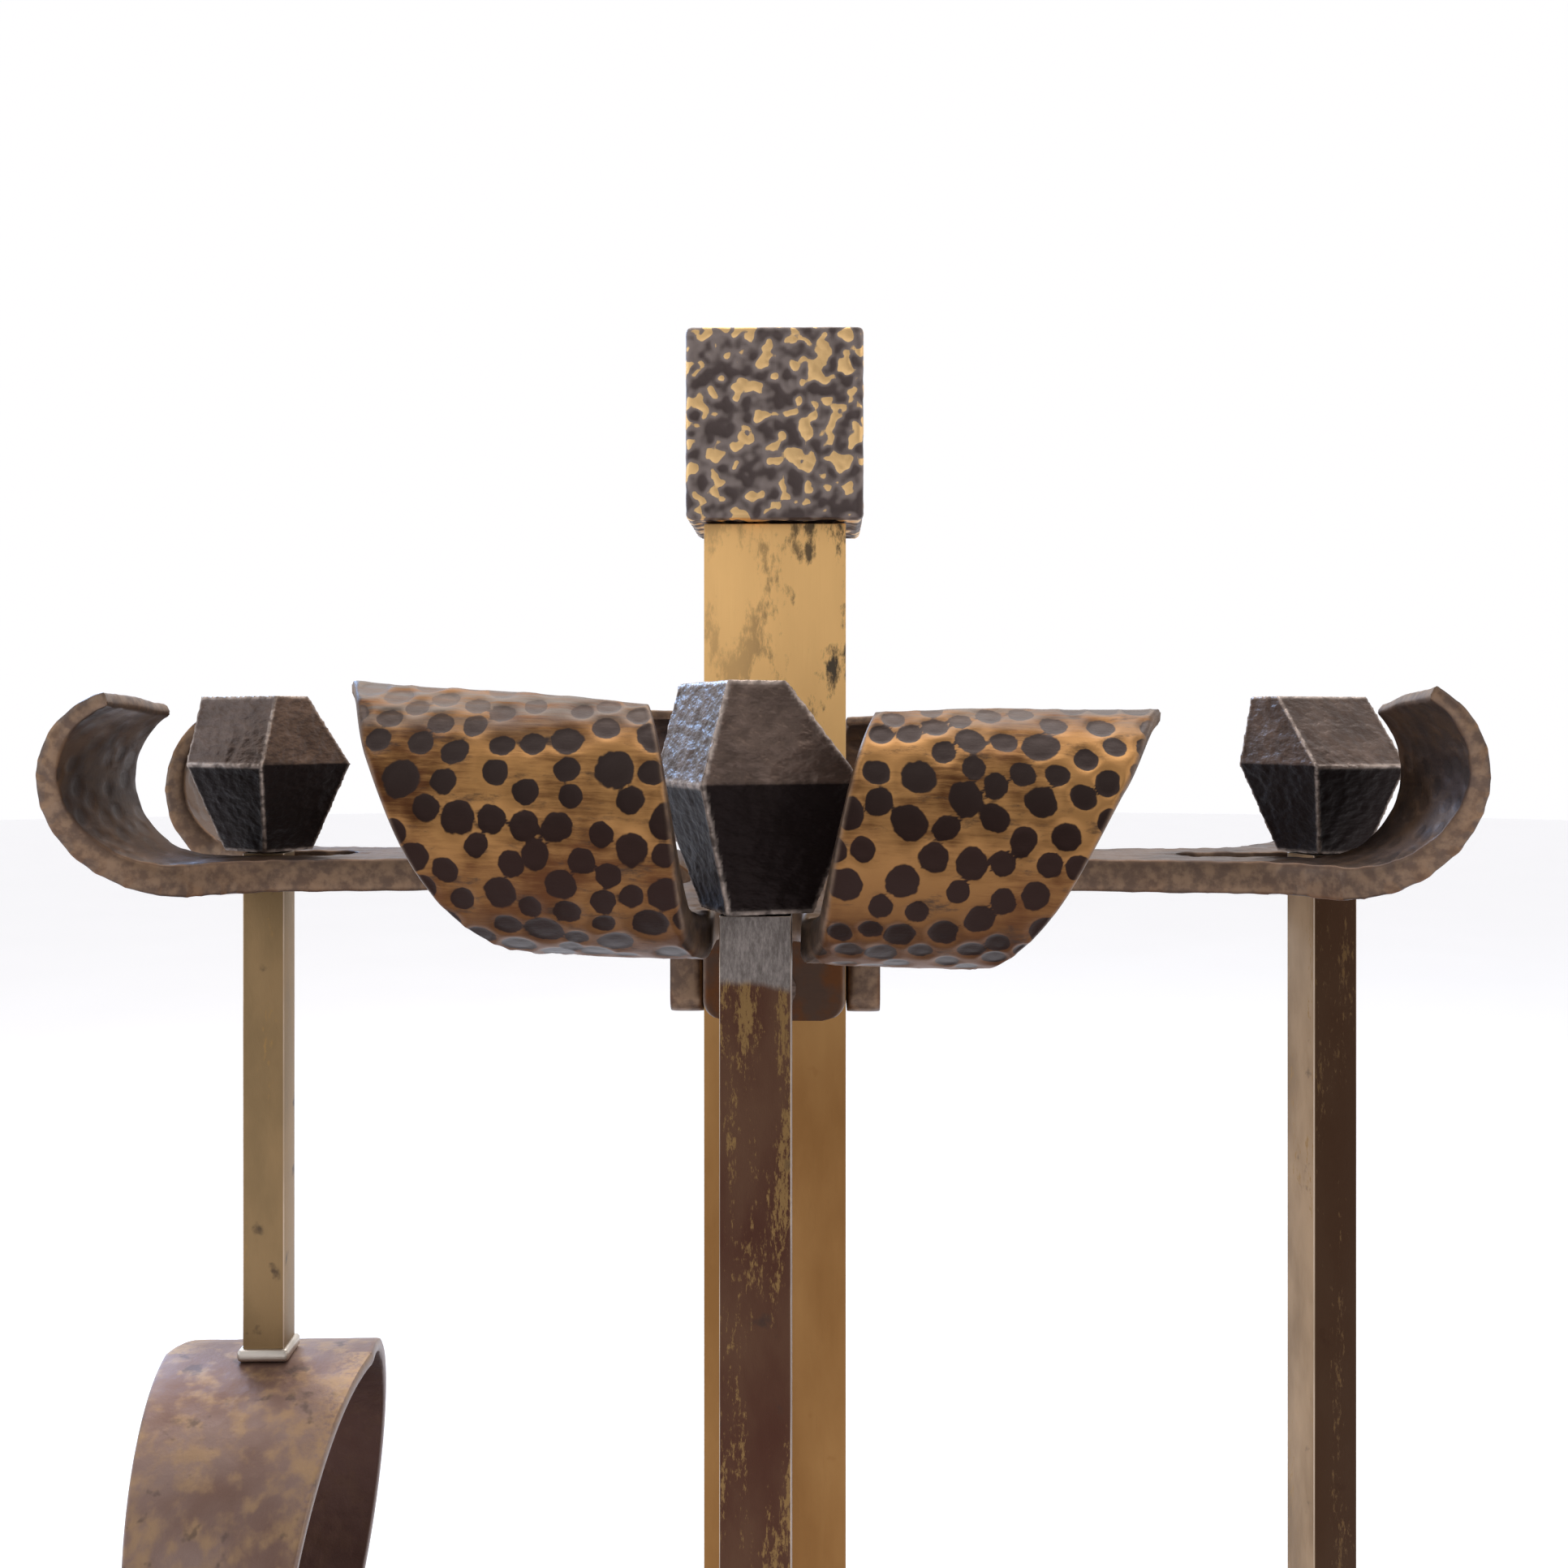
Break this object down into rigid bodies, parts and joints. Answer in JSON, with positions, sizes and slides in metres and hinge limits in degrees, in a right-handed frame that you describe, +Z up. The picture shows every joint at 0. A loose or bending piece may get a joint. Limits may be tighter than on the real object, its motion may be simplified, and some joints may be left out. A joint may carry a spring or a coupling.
{
  "type": "fireplace tool set",
  "caption": "Forged fireplace tools with faceted knobs hanging in hammered, curled forks on a square post: poker, shovel, brush and spring tongs.",
  "frame": {"origin": "on the floor under the post's axis", "axes": "+Z up the post; the poker hangs at -Y, the shovel at +X, the brush at +Y and the tongs at -X"},
  "size_m": [0.2792, 0.2836, 0.7118],
  "materials": {
    "post_brass": "aged golden brass with dark smudges",
    "arm_bronze": "golden ground with dark round hammer marks",
    "bar_bronze": "brown patina worn to gold along the edges",
    "dark_bronze": "dark brown patina, hand hammered",
    "steel_fixings": "plain steel",
    "wood": "unfinished hardwood",
    "bristle": "dark natural bristle"
  },
  "bodies": {
    "stand": {"arm_back": "arm_bronze", "arm_back_screw_lower": "dark_bronze", "arm_back_screw_upper": "dark_bronze", "arm_front": "arm_bronze", "arm_front_screw_lower": "dark_bronze", "arm_front_screw_upper": "dark_bronze", "arm_left": "arm_bronze", "arm_left_screw_lower": "dark_bronze", "arm_left_screw_upper": "dark_bronze", "arm_right": "arm_bronze", "arm_right_screw_lower": "dark_bronze", "arm_right_screw_upper": "dark_bronze", "base_bolt": "steel_fixings", "base_plate": "dark_bronze", "base_washer": "steel_fixings", "cap": "dark_bronze", "foot_back_left": "dark_bronze", "foot_back_right": "dark_bronze", "foot_front_left": "dark_bronze", "foot_front_right": "dark_bronze", "post": "post_brass", "post_collar": "dark_bronze", "post_plug": "steel_fixings"},
    "poker": {"poker_bar": "bar_bronze", "poker_hook": "bar_bronze", "poker_knob": "dark_bronze"},
    "shovel": {"shovel_bar": "bar_bronze", "shovel_knob": "dark_bronze", "shovel_pan": "bar_bronze", "shovel_rivet_lower": "dark_bronze", "shovel_rivet_upper": "dark_bronze"},
    "brush": {"brush_bar": "bar_bronze", "brush_block": "wood", "brush_bristles": "bristle", "brush_ferrule": "dark_bronze", "brush_knob": "dark_bronze", "brush_pin_left": "bar_bronze", "brush_pin_right": "bar_bronze"},
    "tongs": {"tongs_knob": "dark_bronze", "tongs_bar": "bar_bronze", "tongs_crown": "bar_bronze"},
    "tongs_half_front": {"tongs_bow_front": "bar_bronze", "tongs_leg_front": "bar_bronze", "tongs_rivet_front_lower": "dark_bronze", "tongs_rivet_front_upper": "dark_bronze"},
    "tongs_half_back": {"tongs_bow_back": "bar_bronze", "tongs_leg_back": "bar_bronze", "tongs_rivet_back_lower": "dark_bronze", "tongs_rivet_back_upper": "dark_bronze"}
  },
  "joints": [
    {"name": "poker_lift", "type": "slide", "parent": "stand", "child": "poker", "axis": [0, 0, 1], "range_m": [0, 0.06]},
    {"name": "shovel_lift", "type": "slide", "parent": "stand", "child": "shovel", "axis": [0, 0, 1], "range_m": [0, 0.06]},
    {"name": "brush_lift", "type": "slide", "parent": "stand", "child": "brush", "axis": [0, 0, 1], "range_m": [0, 0.06]},
    {"name": "tongs_lift", "type": "slide", "parent": "stand", "child": "tongs", "axis": [0, 0, 1], "range_m": [0, 0.06]},
    {"name": "tongs_squeeze_front", "type": "hinge", "parent": "tongs", "child": "tongs_half_front", "pos_m": [-0.11223, -0.00715, 0.48695], "axis": [0.9986, 0.0523, 0], "range_deg": [0, 2.95], "stiffness_Nm_per_rad": 40},
    {"name": "tongs_squeeze_back", "type": "hinge", "parent": "tongs", "child": "tongs_half_back", "pos_m": [-0.11297, 0.00715, 0.48695], "axis": [-0.9986, -0.0523, 0], "range_deg": [0, 2.95], "stiffness_Nm_per_rad": 40}
  ],
  "couplings": [
    {"joint": "tongs_squeeze_back", "follows": "tongs_squeeze_front", "ratio": 1}
  ]
}
